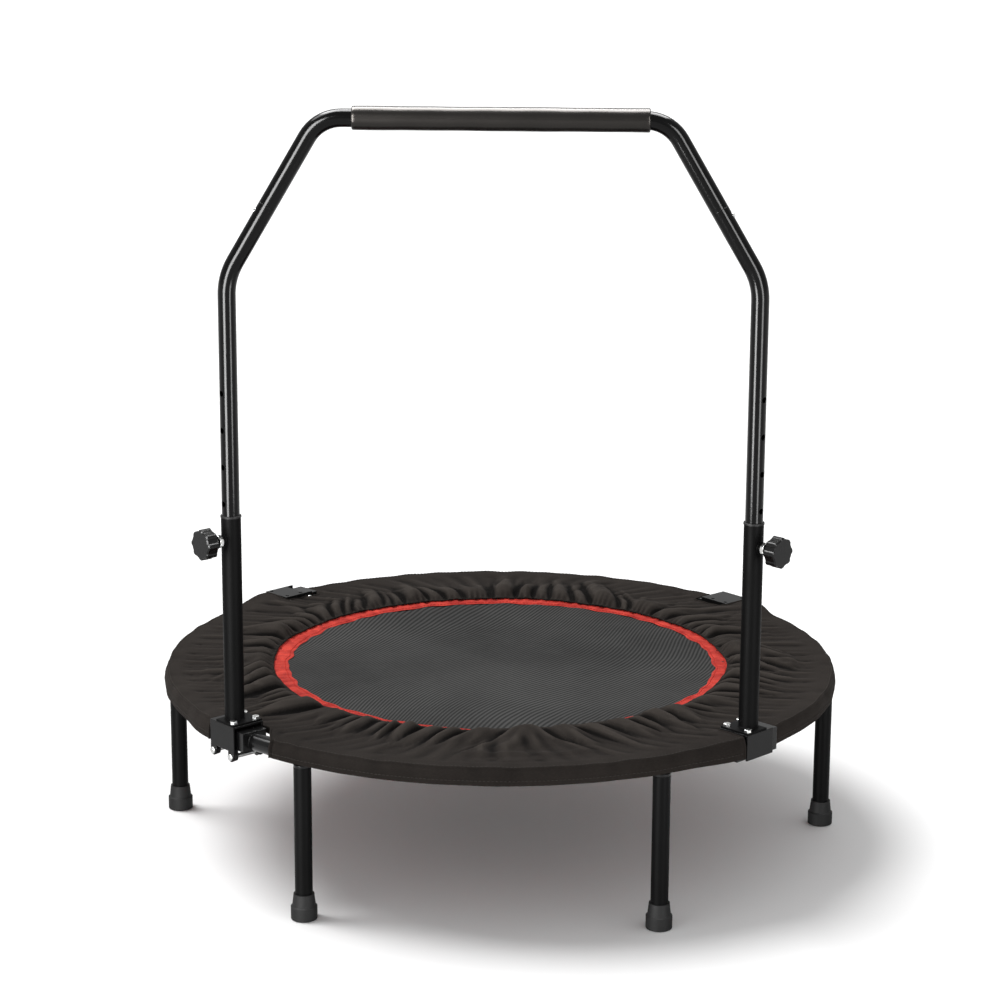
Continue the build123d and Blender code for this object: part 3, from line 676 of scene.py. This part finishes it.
def build_cover():
    """The cover: simulated, refined, drawn in at its edge, creased, and turned in at elastic and hem."""
    angle, cut = cover_angles()
    planned = cover_profile(angle)
    rows = simulated_cover(planned, angle, cut)
    rows, planned = doubled(rows), doubled(planned)
    angle = np.stack([angle, angle + (np.roll(angle, -1) - angle) % math.tau / 2], 1).ravel()
    cut = np.repeat(cut, 2)
    notch_row = 2 * (FREE_ROWS - 1)
    along = run_lengths(rows)

    # the elastic draws the edge in to a smooth line, with small puckers beside it
    drawn = 1 - smoothstep(along / EDGE_DRAW)[:, None, None]
    rows = rows + drawn * (planned - rows)
    fade = (np.exp(-along / 0.008) * smoothstep(along / 0.002))[:, None]
    rows[:, :, 2] += PUCKER * fade * ripple(angle, (211, 241, 263, 187), PUCKER_TURN)
    free = 1 - smoothstep((along - FOLDS_END) / 0.020)[:, None]
    starting = smoothstep(along / 0.012)[:, None]
    rows[:, :, 2] += (RELIEF - 1) * free * starting * beside_average(rows, RELIEF_REACH)

    # long shallow wrinkles further out, sharp creases between the folds, and none of it inside the springs
    loose = (smoothstep((along - 0.030) / 0.030) * (1 - smoothstep((along - 0.120) / 0.030)))[:, None]
    drift = angle + along[:, None] * 1.3 * np.sin(2 * angle)
    rows[:, :, 2] += WRINKLE * loose * ripple(drift, (59, 83, 131, 37), PUCKER_TURN)
    radius = np.hypot(rows[:, :, 0], rows[:, :, 1]).mean(1)
    rows[:, :, 2] -= crease_depths(angle, along, radius) * free
    floor_z = under_height(np.hypot(rows[:, :, 0], rows[:, :, 1]))
    raised = np.maximum(rows[:, :, 2], floor_z)
    rows[:, :, 2] = np.where(along[:, None] < HELD_UP, raised, rows[:, :, 2])
    # each point's height above its neighbours sets the painted shade in creases and the painted highlight on
    # crests
    fold = np.clip(beside_average(rows, SHADE_REACH) / SHADE_DEPTH, -1, 1)

    # the edge is turned under round the elastic, and the hem is turned up inside
    outward = polar(1.0, angle, 0.0)
    up = np.array((0.0, 0.0, 1.0))
    deeper = np.maximum(0.0, rows[0][:, 2] - SKIRT_IN_Z - 0.0002)[:, None] * up
    lip_steps = ((0.010, -0.0016, 1.0), (0.005, -0.0021, 1.0), (0.0008, -0.0013, 0.6))
    hem_steps = ((0.0014, -0.0004), (0.0022, 0.0012), (0.0024, 0.0100))
    lip = [rows[0] + outward * out + up * down - deeper * share for out, down, share in lip_steps]
    hem = [rows[-1] - outward * back + up * rise for back, rise in hem_steps]
    full = np.concatenate([lip, rows, hem])
    # the lip turned under the elastic gets the full painted shade, the hem none
    lip_painted_shade = np.full((len(lip), len(angle)), -1.0)
    fold = np.concatenate([lip_painted_shade, fold, np.zeros((len(hem), len(angle)))])
    along_full = run_lengths(full)
    row_count, column_count = full.shape[:2]
    first_cut = notch_row + len(lip)

    # one more column closes the strip, so that the weave runs on without a jump
    closed = np.concatenate([full, full[:, :1]], 1)
    around = np.concatenate([angle - angle[0], [math.tau]]) * SKIRT_R
    faces = []
    for j in range(row_count - 1):
        for i in range(column_count):
            if j >= first_cut and cut[i]:
                continue
            a = j * (column_count + 1) + i
            faces.append((a, a + 1, a + column_count + 2, a + column_count + 1))
    uv = np.stack(np.broadcast_arrays(around[None, :], along_full[:, None]), -1).reshape(-1, 2)
    used, place = np.unique(np.array(faces), return_inverse=True)
    points = closed.reshape(-1, 3)[used]
    cover = piece("spring_cover", points, place.reshape(-1, 4), FINISHES["skirt_fabric"], uv[used])
    depth = cover.data.attributes.new("fold", "FLOAT", "POINT")
    closed_fold = np.concatenate([fold, fold[:, :1]], 1).ravel()[used]
    depth.data.foreach_set("value", closed_fold.astype(np.float32))
    weld_seam(cover)
    return cover, rows, angle, cut, notch_row, along


def beside_average(rows, reach):
    """Each point's height above the average of its neighbours round the ring."""
    z = rows[:, :, 2]
    return z - sum(np.roll(z, k, 1) for k in range(-reach, reach + 1)) / (2 * reach + 1)


def under_height(radius):
    """The lowest the cover may lie at each radius: on the springs and the border."""
    on_border = BORDER_TOP_Z + 0.0016
    on_springs = SPRING_TOP_Z + 0.0004
    return np.interp(radius, (0.335, 0.356, 0.375, 0.46), (on_border, on_border, on_springs, on_springs))


def weld_seam(obj):
    """Joins the points that lie on each other where a strip closes; each face keeps its own uv."""
    work = bmesh.new()
    work.from_mesh(obj.data)
    bmesh.ops.remove_doubles(work, verts=work.verts, dist=0.000001)
    work.to_mesh(obj.data)
    work.free()
    obj.data.update()


cover, COVER_ROWS, COVER_ANGLE, COVER_CUT, NOTCH_ROW, COVER_ALONG = build_cover()


BINDING_R = 0.0015
THREAD_R = 0.00045
COVER_STITCH = 0.0040
COVER_STITCH_GAP = 0.0018


def cut_edges():
    """The line along each cut in the cover: up the hem, in over the ring, across and back out."""
    lines = []
    count = len(COVER_ANGLE)
    starts = [i for i in range(count) if COVER_CUT[i] and not COVER_CUT[i - 1]]
    for first in starts:
        last = first
        while COVER_CUT[last % count]:
            last += 1
        down = range(len(COVER_ROWS) - 1, NOTCH_ROW, -1)
        line = [COVER_ROWS[j, first] for j in down]
        line += [COVER_ROWS[NOTCH_ROW, i % count] for i in range(first, last + 1)]
        line += [COVER_ROWS[j, last % count] for j in reversed(down)]
        lines.append(np.array(line))
    return lines


def smoothed(line, times=2):
    for _ in range(times):
        line = np.concatenate([line[:1], (line[:-2] + 2 * line[1:-1] + line[2:]) / 4, line[-1:]])
    return line


def dashes(line, length, gap, radius, lift=0.0003):
    """Stitches along a line: short threads, each sunk at its ends."""
    line = np.asarray(line)
    at = np.concatenate([[0.0], np.cumsum(np.linalg.norm(np.diff(line, axis=0), axis=1))])
    parts = []
    for start in np.arange(0.0, at[-1] - length, length + gap):
        s = start + length * np.array([0.0, 0.25, 0.75, 1.0])
        path = np.stack([np.interp(s, at, line[:, k]) for k in range(3)], -1)
        path[:, 2] += np.array([-0.3, 1.0, 1.0, -0.3]) * lift
        parts.append(tube(path, radius * np.array([0.6, 1.0, 1.0, 0.6]), 5))
    return parts


def facing(line):
    """Cloth turned down along the inner side of a cut."""
    inner = line[np.hypot(line[:, 0], line[:, 1]) < NOTCH_R + 0.004]
    levels = [inner + np.array((0, 0, -drop)) for drop in (0.0, 0.003, 0.006, 0.010)]
    return np.concatenate(levels), sheet_faces(len(levels), len(inner))


def build_bindings():
    """A bound edge along every cut, and a facing at the two cuts that show their inner side."""
    parts = []
    for line in cut_edges():
        edge = smoothed(line)
        parts.append(tube(edge, BINDING_R, 8))
        middle_of_cut = Vector(line[len(line) // 2]).to_2d()
        if any(middle_of_cut.angle(HINGES[name].to_2d()) < 0.3 for name in ("lf", "rb")):
            parts.append(facing(edge))
    return piece("cover_bindings", *joined(parts), FINISHES["skirt_fabric"])


def uncut_runs(row):
    """The stretches of one row of the cover between its cuts."""
    runs, run = [], []
    for i in range(len(COVER_ANGLE) + 1):
        k = i % len(COVER_ANGLE)
        run.append(COVER_ROWS[row, k])
        if COVER_CUT[k] or i == len(COVER_ANGLE):
            if len(run) > 4:
                runs.append(np.array(run))
            run = []
    return runs


def build_stitching():
    """A row of stitches along the rim and another along the hem, just proud of the cloth."""
    rim_end = NOTCH_ROW + 2 * RIM_ROWS
    parts = []
    for row in (rim_end - 1, rim_end + 2 * HEM_ROWS - 3):
        for line in uncut_runs(row):
            outward = line * np.array([1.0, 1.0, 0.0])
            outward /= np.linalg.norm(outward, axis=1)[:, None]
            offset = 0.0003 * outward if row > rim_end else 0.0
            parts += dashes(line + offset, COVER_STITCH, COVER_STITCH_GAP, THREAD_R)
    return piece("cover_stitching", *joined(parts), THREAD)


bindings = build_bindings()
stitches = build_stitching()

# -------- mat and red border


MAT_SUNK = 0.0006          # the mat's mean surface lies this far below the CAD mat's top


def build_mat():
    """Round mat with a top and an underside, faintly wavy where the springs pull its edge."""
    radii = np.concatenate([np.linspace(0.004, 0.30, 40), np.linspace(0.305, MAT_R, 14)])
    turn = np.linspace(0, math.tau, 361)
    rows = []
    for r in radii:
        share = r / MAT_R
        wave = 0.0007 * share ** 3 * np.sin(32 * turn + 0.4) + 0.0004 * share * np.sin(5 * turn + 1.1)
        rows.append(polar(r, turn, MAT_TOP_Z - MAT_SUNK + wave))
    top = np.array(rows)
    bottom = top[::-1] - np.array((0, 0, MAT_TOP_Z - MAT_LOW_Z - MAT_SUNK))
    full = np.concatenate([top, bottom])
    uv = full[:, :, :2].reshape(-1, 2)
    count = len(turn)
    faces = sheet_faces(len(full), count)
    points = full.reshape(-1, 3)
    middle_top = len(points)
    points = np.concatenate([points, [(0, 0, MAT_TOP_Z - MAT_SUNK), (0, 0, MAT_LOW_Z)]])
    uv = np.concatenate([uv, [(0, 0), (0, 0)]])
    last = (len(full) - 1) * count
    for i in range(count - 1):
        faces.append((middle_top, i, i + 1))
        faces.append((middle_top + 1, last + i + 1, last + i))
    mat = piece("jump_mat", points, faces, FINISHES["mat_fabric"], uv)
    weld_seam(mat)
    return mat


BORDER_TURN = rng.uniform(0, math.tau, 9)


def build_border():
    """Red webbing folded over the mat's edge: puckered by its stitching, with an uneven inner edge."""
    turn = np.linspace(0, math.tau, 1081)
    uneven = 0.0015 * ripple(turn, (19, 31, 47), BORDER_TURN[0:3])
    wander = uneven + 0.0034 * np.cos(turn) + 0.0012 * np.sin(turn)
    pucker = ripple(turn, (73, 109, 151), BORDER_TURN[3:6])
    shares = np.linspace(0, 1, 15)
    rows = []
    low = MAT_TOP_Z + 0.0001
    for share in shares:
        radius = BORDER_IN_R + wander * (1 - share) ** 2 + (BORDER_OUT_R - BORDER_IN_R) * share
        belly = min(1.0, math.sin(math.pi * min(0.5, share * 3)), 1.2 - share * 0.35)
        z = low + 0.0013 * belly + 0.0006 * pucker * math.sin(math.pi * share)
        for seam in (0.14, 0.62):
            z = z - 0.0009 * math.exp(-((share - seam) / 0.05) ** 2)
        rows.append(polar(radius, turn, z))
    for drop, back in ((0.0016, 0.0006), (0.0034, 0.0002), (0.0046, -0.0040), (0.0046, -0.0330)):
        rows.append(polar(BORDER_OUT_R + back, turn, low + 0.0010 - drop))
    full = np.array(rows)
    along = run_lengths(full)
    uv = np.stack(np.broadcast_arrays((turn * MAT_R)[None, :], along[:, None]), -1).reshape(-1, 2)
    points, faces = full.reshape(-1, 3), sheet_faces(len(full), len(turn))
    border = piece("mat_border_webbing", points, faces, FINISHES["border_webbing"], uv)
    weld_seam(border)
    parts = []
    for row in (2, 9):
        parts += dashes(full[row] + np.array((0, 0, 0.0005)), 0.0042, 0.0016, THREAD_R, 0.0004)
    seams = piece("mat_border_stitching", *joined(parts), RED_THREAD)
    return border, seams


mat = build_mat()
border, border_seams = build_border()

# -------- springs and their rings

COIL = (0.386, 0.464)      # from the centre, where each coil starts and ends
COIL_R = 0.0048
COIL_TURNS = 29
WIRE_R = 0.0012
TRIANGLE_WIRE_R = 0.0014
EYE_R = 0.3725             # the inner hook hangs in its triangle here
HOOK_R = 0.0042
HOLE_R = 0.4860            # the outer hook enters the ring tube here
SPRINGS_PER_SECTION = 8
SPRING_MARGIN = math.radians(7.5)


def spring_line():
    """Wire of one spring, along +X: hook into the mat's triangle, coil, hook into the ring tube."""
    t = np.linspace(0, 1, COIL_TURNS * 10 + 1)
    turn = t * COIL_TURNS * math.tau
    taper = np.minimum(1.0, np.minimum(t, 1 - t) * 18 + 0.25)
    forward = COIL[0] + (COIL[1] - COIL[0]) * t
    coil = np.stack([forward, COIL_R * taper * np.cos(turn), COIL_R * taper * np.sin(turn)], -1)
    hook = np.linspace(math.radians(-150), math.radians(90), 10) + math.pi / 2
    inner = np.stack([EYE_R + HOOK_R - HOOK_R * np.cos(hook), 0 * hook, HOOK_R * np.sin(hook)], -1)
    outer = np.array([
        (COIL[1] + 0.004, 0, 0.0004), (HOLE_R - 0.012, 0, 0.0006),
        (HOLE_R, 0, 0.0004), (HOLE_R + 0.0022, 0, -0.0020),
    ])
    line = np.concatenate([inner, [(COIL[0] - 0.0045, 0, 0.0010)], coil, outer])
    return line + np.array((0, 0, SPRING_Z))


def triangle_line():
    """Wire triangle whose base lies in the border's fold and whose point takes the hook."""
    corners = [(0.3535, -0.0125), (0.3785, -0.0028), (0.3785, 0.0028), (0.3535, 0.0125)]
    line = []
    for i, corner in enumerate(corners):
        here, following = np.array(corner), np.array(corners[(i + 1) % 4])
        line += [here + (following - here) * s for s in (0.12, 0.5, 0.88)]
    line = np.array(line)
    return np.column_stack([line, np.full(len(line), SPRING_Z)])


def turned(points, angle):
    spin = np.array(Matrix.Rotation(angle, 3, "Z"))
    return np.asarray(points) @ spin.T


def section_angles(start, end):
    return np.linspace(start + SPRING_MARGIN, end - SPRING_MARGIN, SPRINGS_PER_SECTION)


def build_springs():
    a = HINGE_ANGLES
    halves = {
        "front": ("base", [(a["lb"], a["lf"]), (a["lf"], a["rf"])]),
        "back": ("back_half", [(a["rf"] - math.tau, a["rb"]), (a["rb"], a["lb"])]),
    }
    kinds = (
        ("coil_springs_", "springs_", "spring_steel", tube(spring_line(), WIRE_R, 6)),
        ("spring_triangles_", "mat_rings_", "zinc", tube(triangle_line(), TRIANGLE_WIRE_R, 6, closed=True)),
    )
    for half, (body, sections) in halves.items():
        angles = np.concatenate([section_angles(*s) for s in sections])
        for name, node, slot, (points, faces) in kinds:
            parts = [(turned(points, angle), faces) for angle in angles]
            made = piece(name + half, *joined(parts), FINISHES[slot])
            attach(made, body)
            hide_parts(node + half)


build_springs()

# -------- foam grip


def build_grip():
    """Foam sleeve on the cross bar: slightly uneven, with cut ends that show its thickness."""
    centre = (GRIP_LOW + GRIP_HIGH) / 2 + Vector((0.0045, 0, 0))
    outer = (GRIP_HIGH.z - GRIP_LOW.z) / 2
    inner = 0.0126
    half = (GRIP_HIGH.x - GRIP_LOW.x) / 2
    profile = [(-half + 0.012, inner), (-half + 0.0004, inner + 0.0002), (-half, inner + 0.0012)]
    profile += [(-half, outer - 0.0016), (-half + 0.0005, outer - 0.0005), (-half + 0.0018, outer)]
    profile += [(x, outer) for x in np.linspace(-half + 0.006, half - 0.006, 90)]
    profile += [(-x, r) for x, r in reversed(profile[:6])]
    sides = 64
    turn = np.linspace(0, math.tau, sides, endpoint=False)
    rows = []
    for x, r in profile:
        soft = smoothstep((r - inner) / (outer - inner))
        sag = 0.00012 * np.sin(31 * x + 0.7) + 0.00010 * np.sin(83 * x + 2 * turn)
        radius = r + soft * (sag - 0.0003)
        rows.append(np.stack([x + 0 * turn, radius * np.cos(turn), radius * np.sin(turn)], -1))
    points = np.concatenate(rows) + np.array(centre)
    faces = ring_faces(len(profile), sides)
    last = (len(profile) - 1) * sides
    for i in range(sides):
        m = (i + 1) % sides
        faces.append((i, last + i, last + m, m))
    grip = piece("foam_grip", points, faces, FINISHES["grip_foam"])
    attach(grip, "handlebar")
    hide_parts("handle_grip")


build_grip()

# -------- welds and nuts


def weld(centre, axis, radius, bead, seed):
    """A weld bead: overlapping ripples round a joint."""
    turn = np.linspace(0, math.tau, 96, endpoint=False)
    axis = Vector(axis).normalized()
    side = axis.orthogonal().normalized()
    up = axis.cross(side)
    beads = np.abs(np.sin(turn * round(radius * math.pi / 0.0022) + seed))
    size = bead * (0.85 + 0.25 * beads)
    path = np.array(centre) + radius * (np.outer(np.cos(turn), side) + np.outer(np.sin(turn), up))
    return tube(path, size, 8, closed=True)


def nut(centre, axis, flats, thickness, bore):
    """A hexagon nut with eased corners at both faces; centre is the middle of its near face."""
    axis = Vector(axis).normalized()
    side = axis.cross(Vector((0, 0, 1))).normalized()
    up = side.cross(axis)
    sides = 36
    turn = np.arange(sides) * math.tau / sides
    flat = np.cos((turn + math.pi / 6) % (math.pi / 3) - math.pi / 6)
    hexagon = flats / 2 / flat
    eased = np.minimum(hexagon, flats / 2 * 1.04)
    profile = [(bore + 0 * turn, 0.0), (eased, 0.0), (hexagon, 0.0009), (hexagon, thickness - 0.0009)]
    profile += [(eased, thickness), (bore + 0 * turn, thickness)]
    points = []
    for r, along in profile:
        ring = np.outer(r * np.cos(turn), side) + np.outer(r * np.sin(turn), up)
        points.append(ring + np.array(centre) + along * np.array(axis))
    return np.concatenate(points), ring_faces(len(profile), sides, closed=True)


def build_fixings():
    welds, nuts = [], []
    for side, top in POSTS.items():
        foot = (top.x, top.y, FLANGE_LOW_Z + FLANGE_T + 0.0004)
        welds.append(weld(foot, (0, 0, 1), POST_R - 0.0001, 0.0009, top.x * 9))
        boss_low, boss_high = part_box("knob_boss_" + side)
        outward = Vector((top.x, top.y, 0)).normalized()
        height = (boss_low.z + boss_high.z) / 2
        root = Vector((top.x, top.y, height)) + outward * (POST_R - 0.0008)
        welds.append(weld(root, outward, BOSS_WELD_R, 0.0012, top.y * 7))
        nuts.append(nut(root + outward * (BOSS_END - POST_R - NUT_SET), outward, NUT_FLATS, NUT_T, BOSS_BORE))
    made = piece("post_welds", *joined(welds), FINISHES["post_paint"])
    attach(made, "base")
    made = piece("knob_nuts", *joined(nuts), FINISHES["zinc"], smooth=False)
    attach(made, "base")


build_fixings()

# -------- the cloth's transforms baked into its meshes, and the CAD's cloth parts hidden

for obj, slot in (
    (cover, "skirt_fabric"), (bindings, "skirt_fabric"), (stitches, "skirt_fabric"),
    (mat, "mat_fabric"), (border, "border_webbing"), (border_seams, "border_webbing"),
):
    bend_over_fold(obj)

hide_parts("skirt_front", "skirt_back")
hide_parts("mat_front", "mat_back")
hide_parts("mat_border_front", "mat_border_back")

# -------- floor, light and camera


def studio():
    floor_finish = Finish("studio_floor", Roughness=0.9, Specular_IOR_Level=0.1)
    grain = floor_finish.noise(floor_finish.place(), 3.0, 3.0, 0.5)
    floor_finish.wire("Base Color", floor_finish.blend(grain, (0.93, 0.93, 0.93), (0.95, 0.95, 0.95)))
    reach = 60.0
    corners = [(-reach, -reach, 0), (reach, -reach, 0), (reach, reach, 0), (-reach, reach, 0)]
    floor = piece("floor", corners, [(0, 1, 2, 3)], floor_finish.material, smooth=False)
    floor.location.z = -0.0004

    world = bpy.data.worlds.new("studio")
    bpy.context.scene.world = world
    world.use_nodes = True
    world.node_tree.nodes["Background"].inputs["Color"].default_value = (1, 1, 1, 1)
    world.node_tree.nodes["Background"].inputs["Strength"].default_value = 0.66

    # tall strips beside the camera and a panel overhead show only as streaks on the glossy parts
    strips = (
        ("strip_left", (-1.30, -2.10, 1.20), (0.85, 2.38), 300.0),
        ("strip_right", (1.49, -1.99, 1.20), (0.60, 2.38), 110.0),
        ("strip_top", (0.0, 0.28, 2.6), (2.2, 1.2), 190.0),
    )
    for name, place, (width, height), power in strips:
        data = bpy.data.lights.new(name, "AREA")
        data.shape = "RECTANGLE"
        data.size = width
        data.size_y = height
        data.energy = power
        lamp = bpy.data.objects.new(name, data)
        lamp.location = place
        aim = Vector((0, -0.34, min(place[2], 1.2))) - Vector(place)
        lamp.rotation_euler = aim.to_track_quat("-Z", "Y").to_euler()
        lamp.visible_camera = False
        lamp.visible_diffuse = False
        bpy.context.scene.collection.objects.link(lamp)

    sky = bpy.data.lights.new("overhead", "SUN")
    sky.energy = 2.7
    sky.angle = math.radians(34)
    lamp = bpy.data.objects.new("overhead", sky)
    lamp.rotation_euler = Vector((0.55, -0.25, -1.0)).to_track_quat("-Z", "Y").to_euler()
    bpy.context.scene.collection.objects.link(lamp)
    bpy.context.scene.view_settings.view_transform = "Standard"


def camera():
    """Long lens, a little above the handlebar, almost square on to it."""
    turn, yaw, pitch, roll = (math.radians(x) for x in (2.25, 0.32, 13.77, 0.30))
    spin = Matrix.Rotation(turn, 3, "Z")
    forward = Vector((math.sin(yaw) * math.cos(pitch), math.cos(yaw) * math.cos(pitch), -math.sin(pitch)))
    right = Vector((math.cos(yaw), -math.sin(yaw), 0))
    up = right.cross(forward)
    tilted_right = right * math.cos(roll) + up * math.sin(roll)
    tilted_up = up * math.cos(roll) - right * math.sin(roll)
    axes = Matrix([spin @ tilted_right, spin @ tilted_up, spin @ -forward]).transposed()
    data = bpy.data.cameras.new("photo_view")
    data.sensor_width = 36.0
    data.lens = 97.2
    obj = bpy.data.objects.new("photo_view", data)
    obj.matrix_world = Matrix.Translation(spin @ Vector((-0.0220, -3.9581, 1.4735))) @ axes.to_4x4()
    bpy.context.scene.collection.objects.link(obj)
    bpy.context.scene.camera = obj


studio()
camera()
